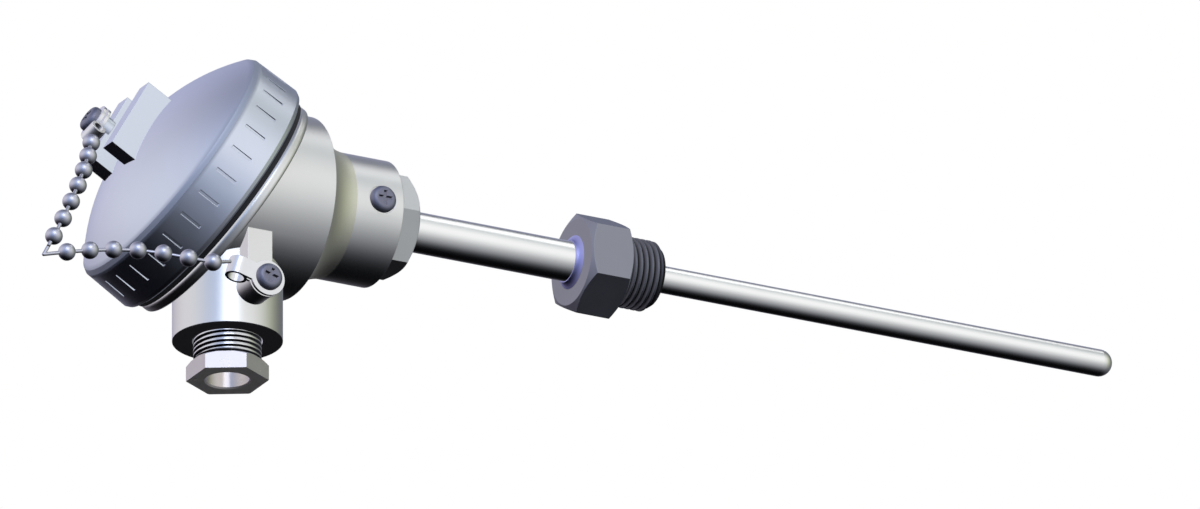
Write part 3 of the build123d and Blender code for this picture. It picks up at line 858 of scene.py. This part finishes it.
class PROBE_OT_stage(Operator):
    """Make the floor, the light, the world and the camera"""

    bl_idname = "probe.stage"
    bl_label = "Stage"

    def execute(self, context):
        scene = context.scene
        self.world(scene)
        self.floor(scene)
        middle = (-0.05, 0.0, 0.0)
        softbox("key_softbox", (0.38, -0.14, 0.82), middle, (0.45, 0.3), 0.4)
        softbox("left_softbox", (-0.45, -0.8, 0.35), middle, (0.5, 0.5), 1.2, (0.9, 0.93, 1.0))
        bounce = softbox("floor_bounce", (-0.05, -0.1, -0.3), middle, (0.6, 0.4), 0.12, (1.0, 0.93, 0.88))
        bounce.visible_glossy = False
        self.camera(scene)
        scene.view_settings.view_transform = "Standard"
        return {"FINISHED"}

    def world(self, scene):
        """White to the camera; bright metal sees the white backdrop in soft glows, and is dark below."""
        world = bpy.data.worlds.new("studio")
        scene.world = world
        finish = Finish(world)
        ray = finish.node("ShaderNodeTexCoord").out("Generated")
        sky = finish.node("ShaderNodeRGB").out(0)
        sky.socket.default_value = rgba(AMBIENT)
        backdrop = 0.0
        for direction, sharpness, white, colour in GLOWS:
            glow = self.facing(finish, ray, direction) ** sharpness
            backdrop = glow * white + backdrop
            tinted = finish.node("ShaderNodeVectorMath", {"operation": "SCALE"}, colour, Scale=glow).out(0)
            sky = finish.node("ShaderNodeVectorMath", {"operation": "ADD"}, sky, tinted).out(0)
        shade_start, shade_end, lightest, darkest = 0.1, 0.85, 1.0, 0.01
        shade = finish.node(
            "ShaderNodeMapRange",
            {"interpolation_type": "SMOOTHSTEP"},
            self.facing(finish, ray, DARK_SIDE),
            shade_start,
            shade_end,
            lightest,
            darkest,
        ).out(0)
        shaded = finish.node("ShaderNodeVectorMath", {"operation": "SCALE"}, sky, Scale=shade).out(0)
        path = finish.node("ShaderNodeLightPath")
        mirrored = path.out("Is Glossy Ray") + path.out("Is Transmission Ray")
        white_share = path.out("Is Camera Ray") + mirrored * backdrop * shade
        light = finish.blend(white_share, shaded, (1, 1, 1, 1))
        background = finish.node("ShaderNodeBackground", {}, Color=light, Strength=1.0)
        finish.node("ShaderNodeOutputWorld", {}, background.out(0))

    def facing(self, finish, ray, direction):
        """Cosine between a ray and a direction, from 0 where they part by a right angle or more."""
        cosine = finish.along(direction, ray)
        return cosine.math("MAXIMUM", 0.0)

    def floor(self, scene):
        """Pale round floor below the probe; bright metal shows the sky's dark lower half instead.

        Rim point = (radius * cos, radius * sin, height), in metres.
        """
        radius, height, glow_share = 4.0, -0.32, 0.7
        angle = round_angles(96)
        rim = np.stack([np.cos(angle) * radius, np.sin(angle) * radius, np.full_like(angle, height)], axis=-1)
        mesh = bpy.data.meshes.new("floor")
        mesh.from_pydata(rim, [], [list(range(len(angle)))])
        finish = new_finish("floor")
        speckle = finish.noise(finish.place(), scale=0.02)
        colour = tuple(scene.probe_colours.floor)
        tone = finish.blend(speckle, rgba(colour, 0.98), rgba(colour, 1.02))
        glow = finish.node("ShaderNodeLightPath").out("Is Camera Ray") * glow_share
        white = (1.0, 1.0, 1.0, 1.0)
        mesh.materials.append(
            finish.close(Base_Color=tone, Roughness=0.9, Emission_Color=white, Emission_Strength=glow)
        )
        plate = bpy.data.objects.new("floor", mesh)
        plate.visible_glossy = False
        scene.collection.objects.link(plate)

    def camera(self, scene):
        """Parallel camera at the photo's angle, to the left of the probe and below it."""
        aim = Vector((-0.0045, 0.0, 0.0041))
        distance, width_seen = 0.5, 0.34985
        data = bpy.data.cameras.new("camera")
        data.type = "ORTHO"
        data.ortho_scale = width_seen
        data.clip_start = 0.01
        camera = bpy.data.objects.new("camera", data)
        turn = Matrix((CAMERA_RIGHT, CAMERA_UP, CAMERA_BACK)).transposed().to_4x4()
        camera.matrix_world = Matrix.Translation(aim + CAMERA_BACK * distance) @ turn
        scene.collection.objects.link(camera)
        scene.camera = camera


class PROBE_PT_panel(Panel):
    """Lists the steps that dress the probe"""

    bl_label = "Thermocouple Probe"
    bl_idname = "PROBE_PT_panel"
    bl_space_type = "VIEW_3D"
    bl_region_type = "UI"
    bl_category = "Probe"

    def draw(self, context):
        layout = self.layout
        for step in STEPS:
            layout.operator(step.bl_idname)
        for group in (context.scene.probe_sizes, context.scene.probe_colours):
            box = layout.box()
            for name in group.__annotations__:
                box.prop(group, name)


STEPS = (
    PROBE_OT_head,
    PROBE_OT_lid,
    PROBE_OT_chain,
    PROBE_OT_screws,
    PROBE_OT_stem,
    PROBE_OT_seals,
    PROBE_OT_insert,
    PROBE_OT_process_fitting,
    PROBE_OT_entry_screw,
    PROBE_OT_stage,
)
CLASSES = (ProbeSizes, ProbeColours) + STEPS + (PROBE_PT_panel,)


def register():
    for entry in CLASSES:
        bpy.utils.register_class(entry)
    bpy.types.Scene.probe_sizes = PointerProperty(type=ProbeSizes)
    bpy.types.Scene.probe_colours = PointerProperty(type=ProbeColours)


def unregister():
    del bpy.types.Scene.probe_colours
    del bpy.types.Scene.probe_sizes
    for entry in reversed(CLASSES):
        bpy.utils.unregister_class(entry)


def main():
    register()
    bpy.ops.probe.head()
    bpy.ops.probe.lid()
    bpy.ops.probe.chain()
    bpy.ops.probe.screws()
    bpy.ops.probe.stem()
    bpy.ops.probe.seals()
    bpy.ops.probe.insert()
    bpy.ops.probe.process_fitting()
    bpy.ops.probe.entry_screw()
    bpy.ops.probe.stage()


if __name__ == "__main__":
    main()
